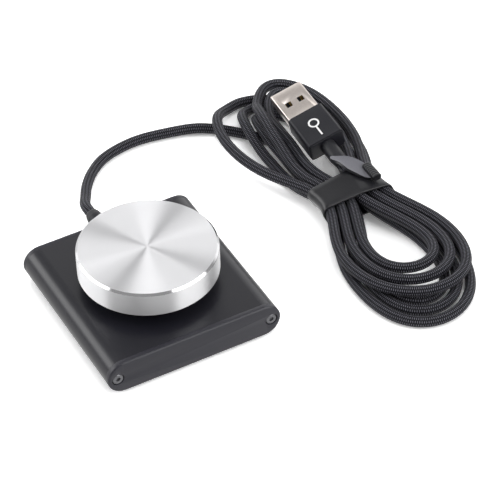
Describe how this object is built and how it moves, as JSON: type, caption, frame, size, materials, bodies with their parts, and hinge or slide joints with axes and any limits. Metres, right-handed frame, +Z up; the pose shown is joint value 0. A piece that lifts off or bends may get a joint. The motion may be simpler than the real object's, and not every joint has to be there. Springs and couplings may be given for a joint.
{
  "type": "usb volume control knob",
  "caption": "Desk volume control: a bright turned knob on a dark round-sided aluminium base, with a braided lead tied as a hank and a plug",
  "frame": {"origin": "centre of the base on the surface it stands on", "axes": "+Z up along the knob's axis, -Y to the front plate, +X to the right where the hank lies"},
  "size_m": [0.1333, 0.1341, 0.026],
  "materials": {
    "dark_anodised": "fine blasted, dark anodised",
    "bright_aluminium": "turned, natural anodised",
    "black_steel": "black oxide",
    "foot_rubber": "matt",
    "board_laminate": "solder mask",
    "black_plastic": "matt",
    "nickel": "nickel plated",
    "ceramic": "matt",
    "white_plastic": "matt",
    "wire_skin": "matt",
    "die_cast": "die-cast",
    "soft_rubber": "satin",
    "braid": "woven nylon braid",
    "moulded_grip": "fine texture",
    "white_print": "printed",
    "contact_metal": "gold flash",
    "strap_black": "smooth woven",
    "strap_grey": "brushed loop"
  },
  "bodies": {
    "base": {"housing": "dark_anodised", "front_plate": "dark_anodised", "rear_plate": "dark_anodised", "front_screws": "black_steel", "rear_screws": "black_steel", "feet": "foot_rubber", "circuit_board": "board_laminate", "controller_chip": "black_plastic", "crystal": "nickel", "capacitors": "ceramic", "cable_header": "white_plastic", "cable_plug": "white_plastic", "inner_wires": "wire_skin", "encoder_case": "black_plastic", "encoder_bushing": "die_cast", "encoder_pins": "nickel", "detent_spring": "nickel", "switch_dome": "nickel", "washer": "nickel", "nut": "nickel", "strain_relief": "soft_rubber", "cord_lead": "braid", "cord_hank": "braid", "cord_tail": "braid", "plug_relief": "soft_rubber", "plug_overmould": "moulded_grip", "plug_mark": "white_print", "plug_shell": "nickel", "plug_tongue": "black_plastic", "plug_contacts": "contact_metal", "strap_band": "strap_black", "strap_leaf": "strap_grey", "strap_roll": "strap_black"},
    "rotor": {"encoder_rotor": "white_plastic"},
    "knob": {"encoder_shaft": "die_cast", "knob_insert": "black_plastic", "knob": "bright_aluminium"}
  },
  "joints": [
    {"name": "volume_turn", "type": "hinge", "parent": "base", "child": "rotor", "pos_m": [0, 0, 0.0075], "axis": [0, 0, 1], "continuous": true},
    {"name": "mute_press", "type": "slide", "parent": "rotor", "child": "knob", "axis": [0, 0, -1], "range_m": [0, 0.0005], "stiffness_N_per_m": 5000, "springref_m": -0.0001}
  ]
}
